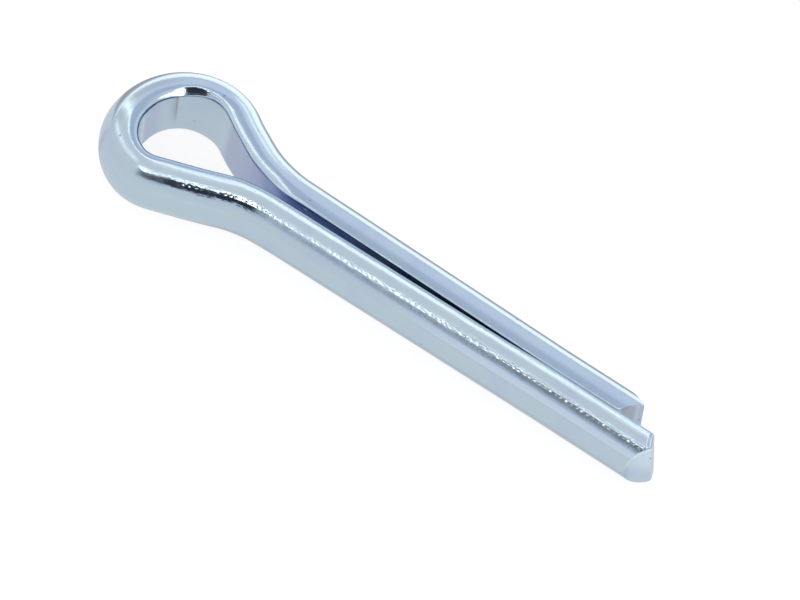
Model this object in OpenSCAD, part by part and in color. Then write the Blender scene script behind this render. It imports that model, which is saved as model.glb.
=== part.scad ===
// Cotter pin: one length of half-round wire folded on itself, with its flat face inwards.
// The eye opens along Z, the legs run along +X, and the pin lies on its side. The origin is on
// the shank's axis at the throat, where the eye stops the pin in its hole.

/* [Shank] */
// Diameter of the closed shank, which is also the width of the wire
shank_d = 7.5; // [6:0.1:9]
// Slit left between the legs where they lie together
slit = 0.1; // [0.06:0.02:0.3]
// Gap between the legs at the throat
throat = 0.5; // [0.4:0.05:0.9]
// Length of the short leg, from the throat to its end
leg_l = 38.2; // [30:0.1:80]
// How far the long leg reaches past the short one
prong_l = 4.2; // [1:0.1:8]
// Stretch at the end of the short leg where the legs lie together
closed_l = 9.7; // [6:0.1:16]
// Radius of the edges where the flat face meets the round back
edge_r = 0.4; // [0.2:0.05:0.8]

/* [Eye] */
// Length of the eye inside, from the throat to the nose
eye_l = 16; // [14.5:0.5:18]
// Radius of the flat face in the bend towards the long leg
long_bend_r = 2.8; // [2.4:0.1:3.6]
// Radius of the flat face in the bend towards the short leg
short_bend_r = 4.6; // [4:0.1:5.6]
// How far the nose sits off the shank's axis, towards the long leg
nose_shift = 0.4; // [0:0.05:0.6]
// Slope of the straight side that leads to the long leg
long_slope = 18; // [15:0.5:21]
// Slope of the straight side that leads to the short leg
short_slope = 28; // [24:0.5:30]
// Radius of the flat face where the sides turn into the legs
neck_r = 15.5; // [8:0.5:16.5]

/* [Ends] */
// Slant of the sheared ends, seen from above
cut_slant = 24; // [0:1:28]
// Lean of the sheared ends, seen from the side, with the underside reaching further
cut_lean = 4; // [0:1:8]
// Length of the bevel that shearing leaves on the round back
bevel_l = 1.4; // [0.8:0.1:3]
// Depth of that bevel at the end
bevel_d = 0.5; // [0.1:0.05:0.8]

/* [Hidden] */
$fn = 96;

// The round backs are centred on the shank's axis, so the closed legs make up one round rod.
back_r = shank_d / 2;
wire_t = back_r - slit / 2;
// Centre of each edge's rounding, as a height, and the angle at which the round back takes over
edge_y = sqrt(pow(back_r - edge_r, 2) - pow(edge_r + slit / 2, 2));
edge_turn = atan2(edge_y, edge_r + slit / 2);

// The legs close up from the throat to here, at this angle to the axis.
close_x = leg_l - closed_l;
leg_turn = atan2((throat - slit) / 2, close_x);

// The bent stretch runs this far into the closed one, and gets this much slimmer on the way.
lap = 1;
lap_slim = 0.04;

// Coarseness of the bent wire: degrees between stations, and steps round the section
bend_step = 5;
neck_step = 2.5;
back_steps = 14;
edge_steps = 3;

// How far the shapes that trim a leg reach, across it and past its end
far = 2 * shank_d;
over = 0.1;

// Points on an arc about c, as [x, y] pairs
function arc(c, r, from, to, steps) =
    [for (i = [0:steps]) let (a = from + (to - from) * i / steps) c + r * [cos(a), sin(a)]];

// Half-round section as [distance out from the flat face, height], taken in by slim all round
function section(slim) = let (
        k = 1 - 2 * slim / wire_t,
        ring = concat(
            arc([edge_r, -edge_y], edge_r, 180, 360 - edge_turn, edge_steps),
            [for (i = [1:back_steps - 1]) let (a = edge_turn * (2 * i / back_steps - 1))
                [-slit / 2, 0] + back_r * [cos(a), sin(a)]],
            arc([edge_r, edge_y], edge_r, edge_turn, 180, edge_steps)))
    [for (p = ring) [wire_t / 2 + k * (p.x - wire_t / 2), k * p.y]];

// One side of the eye and its leg, on the -Y side, up to the closed stretch. The flat face leaves
// the nose along -Y, bends by bend_r to the slope, runs straight, and turns by neck_r to the leg.
// Each station is [x, y, direction that the round back faces, slimming].
function side(bend_r, slope, nose_y) = let (
        bends = ceil((90 + slope) / bend_step),
        necks = ceil(slope / neck_step),
        bend_c = [bend_r - eye_l, nose_y],
        rise = tan(leg_turn),
        bend_end = bend_c + bend_r * [sin(slope), -cos(slope)],
        neck_v = neck_r * [sin(slope) - sin(leg_turn), cos(leg_turn) - cos(slope)],
        run = (rise * (bend_end.x + neck_v.x) - throat / 2 - bend_end.y - neck_v.y)
            / (sin(slope) - rise * cos(slope)),
        neck_c = bend_end + run * [cos(slope), sin(slope)] + neck_r * [sin(slope), -cos(slope)])
    concat(
        [for (i = [0:bends]) let (a = -180 + (90 + slope) * i / bends)
            [bend_c.x + bend_r * cos(a), bend_c.y + bend_r * sin(a), a, 0]],
        [for (i = [0:necks]) let (a = slope + (leg_turn - slope) * i / necks)
            [neck_c.x - neck_r * sin(a), neck_c.y + neck_r * cos(a), a - 90, 0]],
        [[close_x - lap, -slit / 2 - lap * rise, -90, 0],
         [close_x + lap, -slit / 2, -90, lap_slim]]);

function backwards(list) = [for (i = [len(list) - 1:-1:0]) list[i]];
function mirrored(list) = [for (s = list) [s[0], -s[1], -360 - s[2], s[3]]];

// The whole bend from leg to leg, with the nose in it once
long_side = side(long_bend_r, long_slope, -nose_shift);
short_side = mirrored(side(short_bend_r, short_slope, nose_shift));
stations = concat(backwards(long_side), [for (i = [1:len(short_side) - 1]) short_side[i]]);

// Closed skin over rings with equal numbers of points
module skin(rings) {
    n = len(rings[0]);
    last = len(rings) - 1;
    polyhedron(
        points = [for (ring = rings) each ring],
        faces = concat(
            [[for (j = [0:n - 1]) j]],
            [for (i = [0:last - 1], j = [0:n - 1]) let (a = i * n, b = a + n, k = (j + 1) % n)
                each [[a + j, b + k, a + k], [a + j, b + j, b + k]]],
            [[for (j = [n - 1:-1:0]) last * n + j]]));
}

module bent_wire() {
    skin([for (s = stations) let (out = [cos(s[2]), sin(s[2])])
        [for (p = section(s[3])) [s[0] + p.x * out.x, s[1] + p.x * out.y, p.y]]]);
}

// The section as a true outline, with its flat face on the Y axis
module half_round() {
    intersection() {
        translate([-slit / 2, 0]) circle(r = back_r);
        union() {
            for (z = [-edge_y, edge_y]) translate([edge_r, z]) circle(r = edge_r);
            translate([0, -edge_y]) square([edge_r, 2 * edge_y]);
            polygon([
                [edge_r, -edge_y], [edge_r, edge_y],
                [edge_r + far * cos(edge_turn), edge_y + far * sin(edge_turn)],
                [far, 0],
                [edge_r + far * cos(edge_turn), -edge_y - far * sin(edge_turn)]]);
        }
    }
}

// Straight, closed stretch of one leg on the -Y side. Its flat face ends at x, the cut slants back
// from there and leans, and a cone on the shank's axis bevels the round back.
module closed_leg(x, slant) {
    back_x = x - wire_t * tan(slant);
    cone_x = max(x, back_x) + back_r * tan(cut_lean) + over;
    cone_l = cone_x + over - close_x;
    cone_r = back_r - bevel_d * (1 + (cone_x - back_x) / bevel_l);
    intersection() {
        translate([close_x, -slit / 2, 0]) rotate([90, 0, 90])
            linear_extrude(cone_l) mirror([1, 0]) half_round();
        translate([x, 0, 0]) rotate([0, -cut_lean, 0]) linear_extrude(far, center = true)
            polygon([[0, 0], [-far * tan(slant), -far], [-leg_l - far, -far], [-leg_l - far, 0]]);
        translate([cone_x, 0, 0]) rotate([0, -90, 0])
            cylinder(h = cone_l, r1 = cone_r, r2 = cone_r + bevel_d * cone_l / bevel_l);
    }
}

module cotter_pin() {
    color("lightsteelblue") {
        bent_wire();
        closed_leg(leg_l + prong_l, cut_slant);
        mirror([0, 1, 0]) closed_leg(leg_l, -cut_slant);
    }
}

cotter_pin();
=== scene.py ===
import math
from functools import partial

import bpy
import numpy as np
from mathutils import Matrix, Vector


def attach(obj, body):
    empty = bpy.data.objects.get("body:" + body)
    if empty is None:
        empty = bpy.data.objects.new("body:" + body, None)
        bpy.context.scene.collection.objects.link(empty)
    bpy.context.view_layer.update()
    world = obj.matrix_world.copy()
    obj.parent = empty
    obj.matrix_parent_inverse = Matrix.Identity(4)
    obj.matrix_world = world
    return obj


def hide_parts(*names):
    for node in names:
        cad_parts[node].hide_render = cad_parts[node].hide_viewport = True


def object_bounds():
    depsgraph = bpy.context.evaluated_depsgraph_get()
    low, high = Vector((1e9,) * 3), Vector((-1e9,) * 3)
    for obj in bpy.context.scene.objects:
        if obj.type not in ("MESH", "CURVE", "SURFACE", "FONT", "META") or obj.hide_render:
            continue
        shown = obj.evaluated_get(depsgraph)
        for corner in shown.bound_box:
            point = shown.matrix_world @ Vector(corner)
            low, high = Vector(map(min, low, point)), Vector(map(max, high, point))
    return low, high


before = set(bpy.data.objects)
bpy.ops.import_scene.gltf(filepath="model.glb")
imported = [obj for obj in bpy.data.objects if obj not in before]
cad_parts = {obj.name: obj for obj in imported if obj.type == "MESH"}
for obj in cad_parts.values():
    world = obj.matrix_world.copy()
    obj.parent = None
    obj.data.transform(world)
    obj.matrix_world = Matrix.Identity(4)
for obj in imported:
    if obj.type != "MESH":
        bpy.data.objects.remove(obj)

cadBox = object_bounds()
mm = 0.001
print("frame loaded")


def linearColour(hexText):
    # sRGB hex to linear: a straight foot near black, then the 2.4 power
    c = np.array([int(hexText[i:i + 2], 16) for i in (1, 3, 5)]) / 255
    c = np.where(c <= 0.04045, c / 12.92, ((c + 0.055) / 1.055) ** 2.4)
    return (*map(float, c), 1.0)


def addNode(tree, kind, inputs=None, **settings):
    # inputs: socket name or number -> a value, a node for its first output, or (node, output)
    made = tree.nodes.new("ShaderNode" + kind)
    for name, value in settings.items():
        setattr(made, name, value)
    for name, value in (inputs or {}).items():
        if isinstance(value, bpy.types.Node):
            value = (value, 0)
        if isinstance(value, tuple) and isinstance(value[0], bpy.types.Node):
            tree.links.new(value[0].outputs[value[1]], made.inputs[name])
        else:
            made.inputs[name].default_value = value
    return made


def ease(x, none=0.0, full=1.0):
    # 0 up to one value and 1 from the other on, eased between by 3t² - 2t³
    t = np.clip((x - none) / (full - none), 0, 1)
    return t * t * (3 - 2 * t)


# The wire: one half-round length, flat face inwards, folded into an eye and two legs.
# Lengths in mm, angles in degrees, runs measured along the wire from the nose. In the section,
# "out" is measured from the flat face towards the round back, and z upwards.
wire = {
    "nose": (-16.0, -0.41),
    "eyeRadius": 3.75,
    "slit": 0.014,                 # between the closed legs
    "middle": 1.6,                 # the section's middle, out from its flat face
    "closeX": 29.5,                # the legs touch from here
    "settle": 0.3,                 # run in which a leg takes up its last heading
    "step": 0.2,                   # station spacing
    "sectionPoints": {"edge": 13, "back": 72, "flat": 22},
    "seam": 0.2,                   # girth from a ring's last point back to its first
    "flankTurn": (112, 48),        # where the lower flank lies, turned from the top, and its half width
    "shoulder": {"height": 3.55, "from": 1.15, "fall": (0.05, 0.17), "soft": 0.003},
    "endLength": 4.0,              # stretch in which the stations turn to the slanted end
    "endRings": {"turn": 30, "rim": 6, "cap": 40, "turnCrowd": 1.4, "capCrowd": 1.2},
    "rim": 0.13,                   # rounding between end face and sides
    "endHalf": 1.8,                # half the end face's thickness
    "longSide": {
        "sign": 1, "legRadius": 3.67, "tip": 42.4, "halfThroat": 0.27,
        "firstBend": 2.9, "firstTurn": 71, "lastBend": 2.32, "slope": 18.1, "neck": 16.3,
        # radius of the edges between flat and back, at these runs
        "edge": [(0, 0.85), (7, 0.6), (13, 0.45), (20, 0.36), (42, 0.3), (48, 0.13)],
        "lowEdge": [(0, 0.4), (30, 0.4)],
        "bulge": [(1, 0), (4, 0.18), (9, 0.17), (14, 0.05), (18, 0)],   # the eye bows out here
        "twist": [(0, 0), (60, 0)],
        "skew": [(18, 0), (56, 0.063)],                      # the section leans towards the tip
        "roll": [(0, 0), (60, 0)],
        "flank": [(12, 0), (20, 0.13), (58, 0.16)],          # the die left the lower side flatter
        # sheared end, as planes x = first + second * out + third * z, joined by soft ridges
        "end": [(43.69, -0.659, -0.093), (42.5, 0.4, -0.08)],
        # the shear dragged its top corner down
        "droop": {"from": 41.9, "length": 0.5, "limit": 1.2, "depth": 0.7, "across": (1.6, 0.2),
                  "height": (1.0, 3.2)},
    },
    "shortSide": {
        "sign": -1, "legRadius": 3.7, "tip": 38.0, "halfThroat": 0.4,
        "firstBend": 4.72, "firstTurn": 41, "lastBend": 4.46, "slope": 28.2, "neck": 15.0,
        "edge": [(0, 0.85), (5, 0.75), (15, 0.7), (20, 0.3), (25, 0.12)],
        "lowEdge": [(0, 0.4), (18, 0.4), (30, 0.15)],
        "bulge": [(5, 0), (8, 0.06), (11, -0.1), (14, -0.05), (18, 0)],
        "twist": [(3, 0), (7.5, 6), (11, 5), (15, 2.5), (20, 0)],       # the bend tips its flat upwards
        "skew": [(0, 0), (60, 0)],
        "roll": [(7.2, 0), (9.2, 1), (17, 1), (22, 0)],      # rolled shoulder on the upper edge
        "flank": [(0, 0), (60, 0)],
        "end": [(37.95, 0.78, 0), (43.4, -1.667, 0)],
        # flat that a tool pressed into the edge, and the crease where the bender let go
        "press": {"at": 5.1, "half": 1.9, "tilt": 41, "depth": 0.16, "soft": 0.00005},
        "crease": {"at": 3.9, "reach": 0.8, "height": 0.055, "across": (0.3, 0)},
    },
}


def sectionRings(radius, lowEdge, highEdge):
    # Half-round section for each station: points (out, z) round from the lower edge over the back
    # to the upper edge and down the flat face. Each edge is an arc tangent to the flat and the back.
    half = wire["slit"] / 2
    counts = wire["sectionPoints"]
    r, low, high = radius[:, None], lowEdge, highEdge
    lowZ = np.sqrt((r - low) ** 2 - (low + half) ** 2)
    highZ = np.sqrt((r - high) ** 2 - (high + half) ** 2)
    lowTurn, highTurn = np.arctan2(lowZ, low + half), np.arctan2(highZ, high + half)
    fan = np.linspace(0, 1, counts["edge"])[None, :]
    backFan = np.linspace(0, 1, counts["back"])[None, 1:-1]
    flat = np.linspace(0, 1, counts["flat"])[None, 1:-1]
    a = -np.pi + fan * (np.pi - lowTurn)
    b = -lowTurn + backFan * (lowTurn + highTurn)
    c = highTurn + fan * (np.pi - highTurn)
    out = np.hstack([low + low * np.cos(a), -half + r * np.cos(b), high + high * np.cos(c), 0 * (r + flat)])
    z = np.hstack([-lowZ + low * np.sin(a), r * np.sin(b), highZ + high * np.sin(c),
                   highZ - flat * (highZ + lowZ)])
    return out, z


def sidePath(side):
    # Line of the flat face from the nose to near the tip. Its heading is linear in length between
    # knots (two arcs, a straight, the neck's arc, the leg), and its points are the running sum of
    # the heading's cosine and sine. The straight is as long as brings the leg onto its own line.
    x0, y0 = wire["nose"]
    gap, gapEnd = side["halfThroat"], wire["slit"] / 2
    closing = math.atan2(gap - gapEnd, wire["closeX"])
    turn, slope = math.radians(side["firstTurn"]), math.radians(side["slope"])
    heads = np.array([-math.pi / 2, -math.pi / 2 + turn, slope, slope, closing])
    radii = np.array([side["firstBend"], side["lastBend"], 0, -side["neck"]])
    endX = x0 + np.sum(radii * np.diff(np.sin(heads)))
    endY = y0 * side["sign"] - np.sum(radii * np.diff(np.cos(heads)))
    rise = math.tan(closing)
    straight = (rise * endX - gap - endY) / (math.sin(slope) - rise * math.cos(slope))
    lengths = radii * np.diff(heads)
    lengths[2] = straight
    neckX = endX + straight * math.cos(slope)
    lengths = np.append(lengths, [(wire["closeX"] - neckX) / math.cos(closing)])
    knots = np.concatenate([[0], np.cumsum(lengths)])
    total = knots[-1] + side["tip"] - wire["endLength"] - wire["closeX"]
    knots = np.append(knots, [knots[-1] + wire["settle"], total])
    heads = np.append(heads, [closing, 0, 0])
    fine = 0.01  # spacing of the running sum
    s = np.arange(0, total + fine, fine)
    mid = np.interp(s[:-1] + fine / 2, knots, heads)
    x = x0 + np.concatenate([[0], np.cumsum(np.cos(mid)) * fine])
    y = y0 * side["sign"] + np.concatenate([[0], np.cumsum(np.sin(mid)) * fine])
    at = np.linspace(0, total, int(total / wire["step"]) + 1)
    print("side: throat at", round(float(knots[4]), 1), "mm, straight from", round(float(knots[2]), 1),
          "to", round(float(knots[3]), 1), "mm, end at", round(float(total), 1), "mm")
    return at, np.interp(at, s, x), np.interp(at, s, y), np.interp(at, knots, heads), knots


def alongWire(pairs, s):
    # Value given at a few runs, eased between them, as a column of one value for each station
    runs, values = np.array(pairs, float).T
    at = np.interp(s, runs, np.arange(len(runs)))
    step = np.clip(np.floor(at).astype(int), 0, len(runs) - 2)
    return (values[step] + (values[step + 1] - values[step]) * ease(at - step))[:, None]


def toolMarks(side, s, radius, edge, out, z):
    # Pressed flat: what lies above a tilted plane over the edge comes down onto it, with a soft rim.
    # Crease: the flat face stands up by a height that falls off exponentially on both sides.
    press, crease = side["press"], side["crease"]
    t = math.radians(press["tilt"])
    centreZ = np.sqrt((radius[:, None] - edge) ** 2 - (edge + wire["slit"] / 2) ** 2)
    depth = press["depth"] * np.clip(1 - ((s - press["at"]) / press["half"]) ** 2, -1, 1)[:, None]
    over = (z - centreZ) * math.cos(t) - (out - edge) * math.sin(t) - (edge - depth)
    cut = 0.5 * (over + np.sqrt(over ** 2 + press["soft"])) * (z > 0)
    out, z = out + cut * math.sin(t), z - cut * math.cos(t)
    ridge = crease["height"] * np.exp(-abs(s - crease["at"]) / crease["reach"])
    return out - ease(out, *crease["across"]) * ridge[:, None], z


def shearedEnd(side, endOut, endZ):
    # End: rings that turn to the slanted face, round its rim, and shrink to its middle. The face is
    # the lowest of its planes, met by the soft minimum: less the log of the sum of exponentials.
    # Each ring lies back from the face by its share of the end's length.
    length, rim, middle, counts = wire["endLength"], wire["rim"], wire["middle"], wire["endRings"]
    turning = (1 - np.linspace(0, 1, counts["turn"])[1:]) ** counts["turnCrowd"]
    turning = turning * (1 - rim / length) + rim / length
    fillet = np.radians(np.linspace(0, 90, counts["rim"])[1:])
    caps = 1 - np.linspace(0, 1, counts["cap"])[1:] ** counts["capCrowd"]
    drop = np.concatenate([turning * length, rim * (1 - np.sin(fillet)), 0 * caps])
    inner = 1 - rim / wire["endHalf"]
    shrink = np.concatenate([np.ones_like(turning), 1 - (1 - inner) * (1 - np.cos(fillet)), caps * inner])
    out = middle + (endOut - middle) * shrink[:, None]
    z = endZ * shrink[:, None]
    planes = np.stack([x0 + perOut * out + perZ * z for x0, perOut, perZ in side["end"]])
    low = planes.min(0)
    face = low - rim * np.log(np.exp((low - planes) / rim).sum(0))
    startX = side["tip"] - length
    x = face - (drop / length)[:, None] * (face - startX)
    if "droop" in side:
        droop = side["droop"]
        t = np.clip((x - droop["from"]) / droop["length"], 0, droop["limit"]) ** 2
        z = z - droop["depth"] * t * ease(out, *droop["across"]) * ease(z, *droop["height"])
    return x, out, z, drop


def wireSide(side):
    # One side of the wire from the nose to the middle of its end face, as rings of points. A ring
    # stands square to the path: x gains its out times the heading's sine, and y loses its cosine.
    middle = wire["middle"]
    s, x, y, head, knots = sidePath(side)
    eye = 1 - ease(s, knots[2], knots[4])
    radius = side["legRadius"] + (wire["eyeRadius"] - side["legRadius"]) * eye
    edge = alongWire(side["edge"], s)
    out, z = sectionRings(radius, alongWire(side["lowEdge"], s), edge)
    # flatter flank: the surface moves straight in, most at one angle and eased to nothing beside it
    turned = np.degrees(np.arctan2(out, z))
    flankAt, flankHalf = wire["flankTurn"]
    flank = alongWire(side["flank"], s) * ease(abs(turned - flankAt), flankHalf, 0)
    out, z = out - flank * np.sin(np.radians(turned)), z - flank * np.cos(np.radians(turned))
    # rolled shoulder: the top is held under a curve that falls towards the flat, with a soft meeting
    shoulder = wire["shoulder"]
    inward = np.clip(shoulder["from"] - out, 0, None)
    first, second = shoulder["fall"]
    over = z - (shoulder["height"] - first * inward - second * inward ** 2)
    held = 0.5 * (over + np.sqrt(over ** 2 + shoulder["soft"]))
    z = z - alongWire(side["roll"], s) * np.where(out < middle, held, 0) * (z > 0)
    if "press" in side:
        out, z = toolMarks(side, s, radius, edge, out, z)
    # twist about the section's middle, bow of the eye, lean of the section
    t = np.radians(alongWire(side["twist"], s))
    out, z = (middle + (out - middle) * np.cos(t) + z * np.sin(t) + alongWire(side["bulge"], s),
              z * np.cos(t) - (out - middle) * np.sin(t))
    z = z - alongWire(side["skew"], s) * out
    endX, endOut, endZ, drop = shearedEnd(side, out[-1:], z[-1:])
    x = np.vstack([x[:, None] + np.sin(head)[:, None] * out, endX])
    y = np.vstack([y[:, None] - np.cos(head)[:, None] * out, -wire["slit"] / 2 - endOut])
    z = np.vstack([z, endZ])
    along = np.concatenate([s, s[-1] + wire["endLength"] - drop])
    # girth: the running length round each ring
    girth = np.cumsum(np.hypot(np.diff(np.vstack([out, endOut]), axis=1), np.diff(z, axis=1)), axis=1)
    girth = np.hstack([np.zeros((len(girth), 1)), girth, girth[:, -1:] + wire["seam"]])
    return x, y * side["sign"], z, girth, along


# Where the finish, and the painted shade and reflection on the inner wall, change on the wire. Each pair is
# where a change starts and where it is full,
# in mm: runs along the wire (negative on the long side), heights, girths, and places across.
finish = {
    "wall": (-6.8, -6.2),                  # girth counted back from a ring's end: the flat face
    # painted shade: a brownish reflection on the upper inner wall, fading from the crease towards the nose
    "creaseShade": {"share": 0.8, "reach": 0.3, "height": (-3, 1)},
    "endWarmTint": {"share": 0.45, "outer": (1.8, 1.3), "inner": (0.15, 0.45)},   # warmer tint on the inner part of the short leg's sheared face
    # painted shade: the inner wall darkens to blue towards the throat
    "throatShade": {"share": 0.7, "run": (9.2, 10.7), "more": 0.3, "moreRun": (12, 16)},
    # painted reflection: lavender on the inner wall by the nose
    "noseWallReflection": {"share": 0.5, "run": (3, 1)},
    # cooler tint on the outer part of the short leg's sheared face
    "endCoolTint": {"share": 0.6, "outer": (1.5, 1.9)},
    "pressed": {"run": (1.2, 0.2), "girth": -7.5, "half": (1.28, 0.48)},        # run in halves of the flat
    "streak": {"start": (-6, -7), "stop": (-17, -15.5), "girth": 9.5, "half": (1.05, 0.35)},
    "endMargin": 0.1,
}


def finishFields(along, y, z, girth):
    # Shares from 0 to 1 for each point: where a warm and a cool tint are laid on (painted shade and
    # reflection on the inner wall by the crease, the throat and the nose, and warmer and cooler parts of the
    # short leg's cut face), where a tool bore on the wire and left it dimpled, and which points lie on the
    # cut ends
    s, margin = along[:, None], finish["endMargin"]
    ends = np.broadcast_to((s > along[-1] - margin) | (s < along[0] + margin), z.shape)
    shortEnd = ends * (s > 0)
    around, whole = girth[:, :-1], girth[:, -1:]
    wall = ease(around - whole, *finish["wall"]) * ~ends
    # painted shade on the inner wall by the crease, and a warmer tint on the short leg's cut face
    spec, crease = finish["creaseShade"], wire["shortSide"]["crease"]["at"]
    warmTint = wall * np.where(s < crease, np.exp(-abs(crease - s) / spec["reach"]), 0)
    warmTint = spec["share"] * warmTint * ease(z, *spec["height"])
    spec = finish["endWarmTint"]
    warmTint = warmTint + spec["share"] * shortEnd * ease(y, *spec["outer"]) * ease(y, *spec["inner"])
    # painted shade on the inner wall towards the throat, painted reflection by the nose, and a cooler tint
    # on the short leg's cut face
    spec, nose = finish["throatShade"], finish["noseWallReflection"]
    coolTint = wall * (ease(s, *spec["run"]) * (spec["share"] + spec["more"] * ease(s, *spec["moreRun"]))
                     + nose["share"] * ease(s, *nose["run"]) * (s > 0))
    spec = finish["endCoolTint"]
    coolTint = np.clip(coolTint + spec["share"] * shortEnd * ease(y, *spec["outer"]), 0, 1)
    spec, press = finish["pressed"], wire["shortSide"]["press"]
    pressed = ease(abs(s - press["at"]) / press["half"], *spec["run"])
    pressed = pressed * ease(abs(around - whole - spec["girth"]), *spec["half"])
    spec = finish["streak"]
    streak = ease(s, *spec["start"]) * ease(s, *spec["stop"])
    streak = streak * ease(abs(around - spec["girth"]), *spec["half"])
    tooled = pressed * (s > 0) + streak * (s < 0)
    return {"warmTint": warmTint, "coolTint": coolTint, "tooled": tooled, "ends": ends}


def buildWire():
    # The two sides joined at the nose into one grid, closed round and at both ends
    *longGrids, longRun = wireSide(wire["longSide"])
    *shortGrids, shortRun = wireSide(wire["shortSide"])
    x, y, z, girth = (np.vstack([p[::-1], q[1:]]) for p, q in zip(longGrids, shortGrids))
    along = np.concatenate([-longRun[::-1], shortRun[1:]])
    rows, cols = x.shape
    points = np.stack([x, y, z], -1)
    # the first and last rings shrink to one point each
    body = points[1:-1].reshape(-1, 3)
    verts = np.vstack([body, points[0, :1], points[-1, :1]]) * mm
    i, j = np.meshgrid(np.arange(rows - 3), np.arange(cols), indexing="ij")
    k = (j + 1) % cols
    quads = np.stack([i * cols + j, (i + 1) * cols + j, (i + 1) * cols + k, i * cols + k], -1).reshape(-1, 4)
    ring = np.arange(cols)
    nextRing = (ring + 1) % cols
    last = (rows - 3) * cols
    startFan = np.stack([np.full(cols, len(verts) - 2), ring, nextRing], -1)
    endFan = np.stack([np.full(cols, len(verts) - 1), last + nextRing, last + ring], -1)
    faces = quads.tolist() + startFan.tolist() + endFan.tolist()
    mesh = bpy.data.meshes.new("bentWire")
    mesh.from_pydata(verts, [], faces)
    mesh.polygons.foreach_set("use_smooth", np.ones(len(faces), bool))
    # UV map in mm: along the wire from the nose, and round the section from its lower edge
    u, v = along[1:-1], girth[1:-1]
    quadUv = np.stack([
        np.stack([u[i], v[i, j]], -1), np.stack([u[i + 1], v[i + 1, j]], -1),
        np.stack([u[i + 1], v[i + 1, j + 1]], -1), np.stack([u[i], v[i, j + 1]], -1)], 2).reshape(-1, 2)
    fanGirth = np.stack([v[0, ring], v[0, ring], v[0, ring + 1]], -1)
    startUv = np.stack([np.full_like(fanGirth, along[0]), fanGirth], -1)
    endUv = np.stack([np.full_like(fanGirth, along[-1]), fanGirth], -1)
    uv = np.vstack([quadUv, startUv.reshape(-1, 2), endUv[:, [0, 2, 1]].reshape(-1, 2)])
    mesh.uv_layers.new(name="wireRun").uv.foreach_set("vector", uv.astype(np.float32).ravel())
    for name, field in finishFields(along, y, z, girth).items():
        inner = np.asarray(field, float)[1:-1].ravel()
        values = np.append(inner, [1.0 * (name == "ends")] * 2).astype(np.float32)
        mesh.attributes.new(name, "FLOAT", "POINT").data.foreach_set("value", values)
    mesh.validate()
    piece = bpy.data.objects.new("bent_wire", mesh)
    bpy.context.scene.collection.objects.link(piece)
    print("wire:", rows, "rings of", cols, "points,", len(faces), "faces")
    return piece


# Bright zinc plate with a clear blue passivate over drawn steel wire: satin and cold blue-grey,
# clouded towards lavender and straw, with fine lines along the drawing direction, a fine grain
# and a few plating pits. Sizes in mm. Each pair is where a change starts and where it is full.
zincPlate = {
    "colour": "#cde1ef",
    "lavender": "#cbdaf0",
    "straw": "#cfe2ea",
    # warm tint: painted shade on the inner wall by the crease, and the colour of part of the short leg's cut
    # face
    "warmTint": "#8f7f86",
    # cool tint: painted shade and reflection on the inner wall, and the colour of part of the short leg's
    # cut face
    "coolTint": "#aeb9de",
    # dark colour of dirt in the pits, and of painted dark reflection by the chatter row
    "soilAndDarkReflection": "#3f4a4c",
    "paintedGlint": "#f4f9fd",             # painted glints on the high spots of the chatter marks
    "paintedSheen": "#dcecff",           # painted sheen: a brighter band along the long side
    "band": {"girth": 8.6, "half": (0.48, 0.24), "run": (-28, -44)},
    "roughness": (0.14, 0.2),
    "satinShare": (0.3, 0.7),      # of the haze pattern, from the smoothest to the roughest
    "tooledRoughness": 0.08,
    "cloud": {"size": 4.0, "share": (0.35, 0.8)},
    "haze": {"size": 2.4, "share": (0.42, 0.75), "distortion": 0.5},
    "waves": {"size": 2.2, "height": 0.010},
    "grain": {"size": 0.2, "height": 0.004},
    "dimples": {"size": 0.55, "height": 0.016},
    "drawLines": {"size": 0.25, "stretch": 0.04, "height": 0.004},
    "pits": {"size": 3.2, "radius": 0.045, "height": 0.04, "chosen": 0.5, "soilAndDarkReflection": 0.4},
    "endPits": {"size": 1.3, "radius": 0.09},
    "pitRim": (1.6, 0.4),          # in shares of a pit's radius
    # row of chatter marks that the drawing die left along the long side, by girth and run, with painted
    # glints on them
    "chatter": {"girth": 9.84, "pitch": 0.6, "radius": 0.23, "height": 0.016, "run": (-5.5, -7.5),
                "wander": 0.3, "squeeze": 1.3, "weakest": 0.35, "paintedGlint": (0.1, 0.45)},
    # painted dark reflection in a narrow line under the row, and in the gaps between its marks, towards the
    # tip
    "darkReflectionBand": {"lower": (-0.75, -0.25), "upper": (0.0, -0.14), "run": (-38, -50), "soilAndDarkReflection": 0.5},
    "gaps": {"beside": (0.22, 0.1), "distance": (0.2, 0.4), "run": (-30, -48), "soilAndDarkReflection": 0.3},
}


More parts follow.
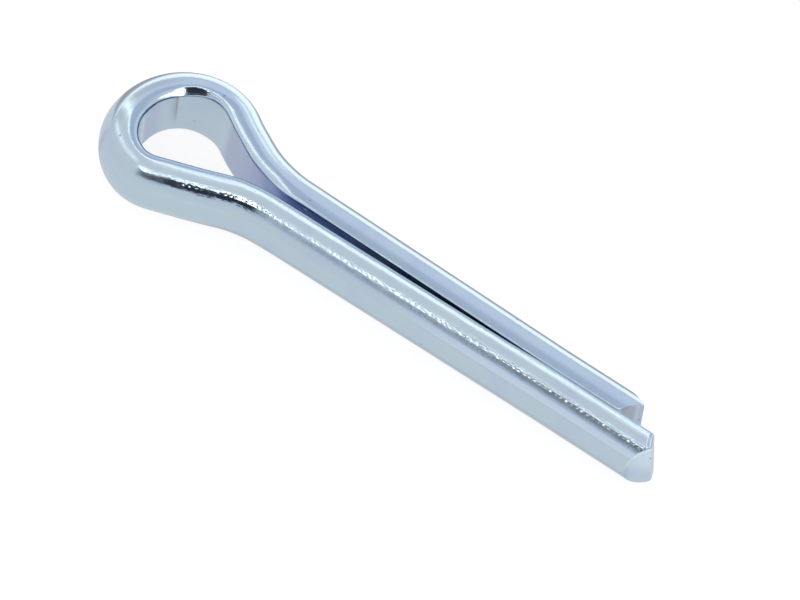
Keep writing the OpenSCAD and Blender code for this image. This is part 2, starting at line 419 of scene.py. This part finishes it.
def zincPlatedSteel():
    plate = zincPlate
    chatter, darkReflectionBand, gap, band = (plate[k] for k in ("chatter", "darkReflectionBand", "gaps", "band"))
    material = bpy.data.materials.new("zinc plated steel")
    material.use_nodes = True
    tree = material.node_tree
    tree.nodes.clear()
    add = partial(addNode, tree)

    # places in mm: in the solid, along and round the wire, and the same with the run squeezed
    wireRun = add("UVMap", uv_map="wireRun")
    place = add("SeparateXYZ", {0: wireRun})
    solid = add("VectorMath", {0: (add("TexCoord"), "Object"), 1: [1 / mm] * 3}, operation="MULTIPLY")
    stretch = (plate["drawLines"]["stretch"], 1, 1)
    stretched = add("VectorMath", {0: wireRun, 1: stretch}, operation="MULTIPLY")

    # noise patterns: source, size, detail, roughness, distortion
    noises = {
        "waves": (solid, plate["waves"]["size"], 1.0, 0.5, 0.0),
        "grain": (solid, plate["grain"]["size"], 2.0, 0.6, 0.0),
        "lines": (stretched, plate["drawLines"]["size"], 3.0, 0.6, 0.0),
        "cloud": (solid, plate["cloud"]["size"], 3.0, 0.55, 0.0),
        "haze": (solid, plate["haze"]["size"], 3.0, 0.55, plate["haze"]["distortion"]),
        "dimples": (solid, plate["dimples"]["size"], 1.0, 0.5, 0.0),
    }
    for name, (source, size, detail, roughness, distortion) in noises.items():
        noises[name] = add("TexNoise", {"Vector": source, "Scale": 1 / size, "Detail": detail,
                                        "Roughness": roughness, "Distortion": distortion})

    # cells: a few of them carry a pit at their point, and more do on the cut ends
    cells = add("TexVoronoi", {"Vector": solid, "Scale": 1 / plate["pits"]["size"]})
    endCells = add("TexVoronoi", {"Vector": solid, "Scale": 1 / plate["endPits"]["size"]})
    cellKind = add("SeparateColor", {0: (cells, "Color")})
    chosen = add("Math", {0: cellKind, 1: plate["pits"]["chosen"]}, operation="GREATER_THAN")

    # chatter: one row of cells along the wire, each with a low dome of its own strength
    aside = add("Math", {0: (place, "Y"), 1: chatter["girth"]}, operation="SUBTRACT")
    beside = add("Math", {0: aside}, operation="ABSOLUTE")
    pitches = add("Math", {0: (place, "X"), 1: chatter["pitch"]}, operation="DIVIDE")
    squeezed = add("Math", {0: aside, 1: chatter["squeeze"] / chatter["pitch"], 2: 0.5},
                   operation="MULTIPLY_ADD")
    row = add("TexVoronoi", {"Vector": add("CombineXYZ", {"X": pitches, "Y": squeezed}), "Scale": 1.0,
                             "Randomness": chatter["wander"]}, voronoi_dimensions="2D")
    markKind = add("SeparateColor", {0: (row, "Color")})
    strength = add("MapRange", {"Value": markKind, "To Min": chatter["weakest"], "To Max": 1.0})
    inRow = add("Math", {0: beside, 1: chatter["pitch"] / 2 / chatter["squeeze"]}, operation="LESS_THAN")
    fromBand = add("Math", {0: (place, "Y"), 1: band["girth"]}, operation="SUBTRACT")

    # soft limits: source, the value at which it starts, the value at which it is full
    rimStart, rimFull = plate["pitRim"]
    pitRadius, endPitRadius = plate["pits"]["radius"], plate["endPits"]["radius"]
    fades = {
        "dip": (cells, pitRadius * rimStart, pitRadius * rimFull),
        "endDip": (endCells, endPitRadius * rimStart, endPitRadius * rimFull),
        "longSide": ((place, "X"), *chatter["run"]),
        "dome": (row, chatter["radius"] / chatter["pitch"], 0.0),
        "lavender": (noises["cloud"], *plate["cloud"]["share"]),
        "straw": (noises["haze"], *plate["haze"]["share"]),
        "inBand": (add("Math", {0: fromBand}, operation="ABSOLUTE"), *band["half"]),
        "bandRun": ((place, "X"), *band["run"]),
        # painted dark reflection: a band under the chatter row, towards the tip
        "darkBandLower": (aside, *darkReflectionBand["lower"]),
        "darkBandUpper": (aside, *darkReflectionBand["upper"]),
        "darkBandRun": ((place, "X"), *darkReflectionBand["run"]),
        "gapBeside": (beside, *gap["beside"]),
        "gapDistance": (row, *gap["distance"]),
        "gapRun": ((place, "X"), *gap["run"]),
    }
    for name, (source, none, full) in fades.items():
        fades[name] = add("MapRange", {"Value": source, "From Min": none, "From Max": full},
                          interpolation_type="SMOOTHSTEP")

    # masks: the product of their factors
    worked = add("Attribute", attribute_name="tooled")
    cutEnd = add("Attribute", attribute_name="ends")
    masks = {
        "pit": (fades["dip"], chosen),
        "endPit": (fades["endDip"], (cutEnd, "Fac")),
        "marks": (fades["dome"], strength, inRow, fades["longSide"]),
        "dimples": (noises["dimples"], (worked, "Fac")),
        "sheenBand": (fades["inBand"], fades["bandRun"]),
        "darkReflectionBand": (fades["darkBandLower"], fades["darkBandUpper"], fades["longSide"], fades["darkBandRun"]),
        "gaps": (inRow, fades["longSide"], fades["gapDistance"], fades["gapBeside"], fades["gapRun"]),
    }
    for name, (mask, *others) in masks.items():
        for other in others:
            mask = add("Math", {0: mask, 1: other}, operation="MULTIPLY")
        masks[name] = mask
    pit = add("Math", {0: masks["pit"], 1: masks["endPit"]}, operation="ADD")

    # relief: the sum of all heights, in mm; a noise swings over half its span, so its height is doubled
    height = 0.0
    for field, amount in ((noises["waves"], plate["waves"]["height"] * 2),
                          (noises["grain"], plate["grain"]["height"] * 2),
                          (noises["lines"], plate["drawLines"]["height"] * 2),
                          (masks["dimples"], plate["dimples"]["height"]),
                          (pit, -plate["pits"]["height"]),
                          (masks["marks"], chatter["height"])):
        height = add("Math", {0: field, 1: amount, 2: height}, operation="MULTIPLY_ADD")
    bump = add("Bump", {"Height": height, "Distance": mm, "Strength": 1.0})

    # dirt in the pits, and painted dark reflection under the chatter row and in the gaps between its marks:
    # the sum of their shares
    soilAndDarkReflection = 0.0
    for field, amount in ((masks["gaps"], gap["soilAndDarkReflection"]), (masks["darkReflectionBand"], darkReflectionBand["soilAndDarkReflection"]),
                          (pit, plate["pits"]["soilAndDarkReflection"])):
        soilAndDarkReflection = add("Math", {0: field, 1: amount, 2: soilAndDarkReflection}, operation="MULTIPLY_ADD")

    # colours laid over each other, among them painted shade, reflection, sheen and glints; a Mix node's
    # colours are its inputs 6 and 7 and its output 2
    # painted glints: the highest parts of the chatter marks are whitened
    start, full = chatter["paintedGlint"]
    glintMarks = add("MapRange", {"Value": masks["marks"], "From Min": start, "From Max": full},
                    interpolation_type="SMOOTHSTEP")
    colour = linearColour(plate["colour"])
    for name, share in (("lavender", fades["lavender"]), ("straw", fades["straw"]),
                        ("warmTint", (add("Attribute", attribute_name="warmTint"), "Fac")),
                        ("coolTint", (add("Attribute", attribute_name="coolTint"), "Fac")),
                        ("paintedSheen", masks["sheenBand"]), ("soilAndDarkReflection", soilAndDarkReflection), ("paintedGlint", glintMarks)):
        colour = (add("Mix", {0: share, 6: colour, 7: linearColour(plate[name])}, data_type="RGBA"), 2)

    # uneven satin, smoother where tools bore on the wire
    (start, full), (low, high) = plate["satinShare"], plate["roughness"]
    satin = add("MapRange", {"Value": noises["haze"], "From Min": start, "From Max": full,
                             "To Min": low, "To Max": high})
    satin = add("Mix", {0: (worked, "Fac"), 2: satin, 3: plate["tooledRoughness"]})
    shader = add("BsdfPrincipled", {"Base Color": colour, "Metallic": 1.0, "Roughness": satin,
                                    "Normal": bump})
    add("OutputMaterial", {"Surface": shader})
    return material


pin = buildWire()
pin.data.materials.append(zincPlatedSteel())
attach(pin, "root")
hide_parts("cotter_pin")

# Camera: looks down on the lying pin from the long leg's side, with a slight roll. Lengths in mm,
# angles in degrees, clipping in metres.
view = {"azimuth": 26.59, "elevation": 63.58, "roll": 8.5, "distance": 1500, "lens": 710.8, "sensor": 36,
        "aim": (9.98, 0, 0), "shift": (2.79, -2.80), "clip": (0.05, 20)}


def viewAxes():
    # Right, up and back of the camera: back comes from azimuth and elevation, the others roll about it
    a, e, r = (math.radians(view[k]) for k in ("azimuth", "elevation", "roll"))
    back = Vector((math.sin(a) * math.cos(e), -math.cos(a) * math.cos(e), math.sin(e)))
    level = Vector((math.cos(a), math.sin(a), 0))
    rise = back.cross(level)
    right = level * math.cos(r) + rise * math.sin(r)
    return right, back.cross(right), back


def placeCamera():
    # It stands back from its aim, which is shifted in the picture's plane to frame the pin
    right, up, back = viewAxes()
    aim = Vector(view["aim"]) + right * view["shift"][0] + up * view["shift"][1]
    data = bpy.data.cameras.new("camera")
    data.sensor_width = view["sensor"]
    data.lens = view["lens"]
    data.clip_start, data.clip_end = view["clip"]
    camera = bpy.data.objects.new("camera", data)
    turn = Matrix((right, up, back)).transposed().to_4x4()
    camera.matrix_world = Matrix.Translation((aim + back * view["distance"]) * mm) @ turn
    bpy.context.scene.collection.objects.link(camera)
    bpy.context.scene.camera = camera


placeCamera()
print("camera placed")

# Studio: a white light tent over white paper. Each shape on the tent is bounded by soft limits: a
# direction, and how far the ray leans along it where the shape starts and where it is full. Each
# band on the paper changes its glow by a level, between two places along an axis, in mm.
alongX, alongY, alongZ = (1, 0, 0), (0, 1, 0), (0, 0, 1)
overheadTube = (0.40, 0.916, 0.03)
leftTube = (0.134, 0.882, 0.450)
frontTube = (-0.082, 0.8055, 0.587)
studio = {
    "tent": (0.73, 0.73, 0.735),
    "shapes": [
        # far wall, and the shade on its upper part and beyond the eye
        {"light": (0.73, 0.755, 0.85), "limits": [(alongY, 0.2, 0.5)]},
        {"light": (0.52, 0.565, 0.66), "limits": [(alongY, 0.05, 0.3), (alongZ, 0.45, 0.72)]},
        {"light": (0.62, 0.625, 0.65), "limits": [(alongX, -0.5, -0.66), (alongY, -0.1, 0.15),
                                                  (alongZ, 0.5, 0.25)]},
        # dim cloth beside the front tube, and the black card on it
        {"light": (0.66, 0.69, 0.76), "limits": [(frontTube, -0.62, -0.36), (frontTube, -0.01, -0.05),
                                                 (alongX, -0.36, -0.24), (alongX, 0.9, 0.7)]},
        {"light": (0.03, 0.035, 0.05), "limits": [(frontTube, -0.38, -0.33), (frontTube, 0.03, 0.01),
                                                  (alongX, -0.19, -0.15), (alongX, 0.8, 0.65)]},
        # overhead tube, its wider stretch, and the left tube
        {"light": (1.6, 1.6, 1.6), "limits": [(overheadTube, -0.09, -0.04), (overheadTube, 0.075, 0.0)]},
        {"light": (1.6, 1.6, 1.6), "limits": [(overheadTube, -0.03, -0.01), (overheadTube, 0.13, 0.04),
                                              (alongX, -0.3, -0.22), (alongX, -0.08, -0.16)]},
        {"light": (1.3, 1.3, 1.3), "limits": [(leftTube, -0.08, -0.02), (leftTube, 0.08, 0.02),
                                              (alongX, -0.24, -0.36), (alongZ, 0.05, 0.3)]},
        # front tube: a short bright stretch, which the chatter marks catch, and a dimmer one
        {"light": (11, 11, 11), "limits": [(frontTube, -0.03, -0.012), (frontTube, 0.042, 0.022),
                                           (alongX, -0.163, -0.14), (alongX, 0.0, -0.05)]},
        {"light": (5, 5, 5), "limits": [(frontTube, 0.006, 0.022), (frontTube, 0.05, 0.036),
                                        (alongX, -0.15, -0.1), (alongX, 0.26, 0.16), (alongY, -0.2, -0.4)]},
        # lamp beyond the leg ends, and the window behind
        {"light": (2.5, 2.5, 2.5), "limits": [((0.753, -0.341, 0.563), 0.965, 0.985)]},
        {"light": (1.25, 1.25, 1.25), "limits": [((0.1, 0.99, 0), 0.965, 0.99)]},
    ],
    "paper": {"size": 3000, "drop": 0.02, "glow": 0.42, "grey": 0.25, "seenGlow": 0.84, "seenGrey": 0.26},
    # painted shade: the paper glows less in strips along both sides of the pin; painted light: a bright
    # strip behind it and a patch beyond the leg ends
    "paperBands": [("Y", -4, -6, 0.13), ("Y", -3.9, -3.3, 0.15), ("Y", 3.9, 4.5, -0.35),
                   ("Y", 11, 17, 0.9), ("Y", 40, 90, -0.75), ("X", 44.2, 45.4, 0.15)],
}


def makeWorld():
    # Each shape is mixed over the tent's own light by the product of its limits
    world = bpy.data.worlds.new("light tent")
    bpy.context.scene.world = world
    world.use_nodes = True
    tree = world.node_tree
    tree.nodes.clear()
    add = partial(addNode, tree)
    ray = add("TexCoord")
    light = (*studio["tent"], 1)
    for shape in studio["shapes"]:
        mask = 1.0
        for toward, none, full in shape["limits"]:
            lean = add("VectorMath", {0: (ray, "Generated"), 1: toward}, operation="DOT_PRODUCT")
            limit = add("MapRange", {"Value": (lean, "Value"), "From Min": none, "From Max": full},
                        interpolation_type="SMOOTHSTEP")
            mask = add("Math", {0: mask, 1: limit}, operation="MULTIPLY")
        light = (add("Mix", {0: mask, 6: light, 7: (*shape["light"], 1)}, data_type="RGBA"), 2)
    tent = add("Background", {"Color": light})
    white = add("Background", {"Color": (1, 1, 1, 1), "Strength": 1.0})
    both = add("MixShader", {0: (add("LightPath"), "Is Camera Ray"), 1: tent, 2: white})
    add("OutputWorld", {"Surface": both})


def makeFloor():
    # The paper's glow is the sum of its own and each band's level, eased between the band's places; the
    # bands paint shade beside the pin and light behind and beyond it
    paper = studio["paper"]
    half = paper["size"] / 2 * mm
    z = cadBox[0].z - paper["drop"] * mm
    corners = [(-half, -half, z), (half, -half, z), (half, half, z), (-half, half, z)]
    mesh = bpy.data.meshes.new("floor")
    mesh.from_pydata(corners, [], [(0, 1, 2, 3)])
    floor = bpy.data.objects.new("floor", mesh)
    bpy.context.scene.collection.objects.link(floor)
    material = bpy.data.materials.new("white paper")
    material.use_nodes = True
    tree = material.node_tree
    tree.nodes.clear()
    add = partial(addNode, tree)
    place = add("SeparateXYZ", {0: (add("TexCoord"), "Object")})
    glow = paper["glow"]
    for axis, none, full, level in studio["paperBands"]:
        band = add("MapRange", {"Value": (place, axis), "From Min": none * mm, "From Max": full * mm},
                   interpolation_type="SMOOTHSTEP")
        glow = add("Math", {0: band, 1: level, 2: glow}, operation="MULTIPLY_ADD")
    # the metal sees the paper in bands, and the camera sees it plain and near white
    sheets = []
    for strength, grey in ((glow, paper["grey"]), (paper["seenGlow"], paper["seenGrey"])):
        diffuse = add("BsdfDiffuse", {"Color": (grey, grey, grey, 1)})
        sheets.append(add("AddShader", {0: diffuse, 1: add("Emission", {"Strength": strength})}))
    both = add("MixShader", {0: (add("LightPath"), "Is Camera Ray"), 1: sheets[0], 2: sheets[1]})
    add("OutputMaterial", {"Surface": both})
    floor.data.materials.append(material)


makeWorld()
makeFloor()
bpy.context.scene.view_settings.view_transform = "Standard"
print("studio lit")
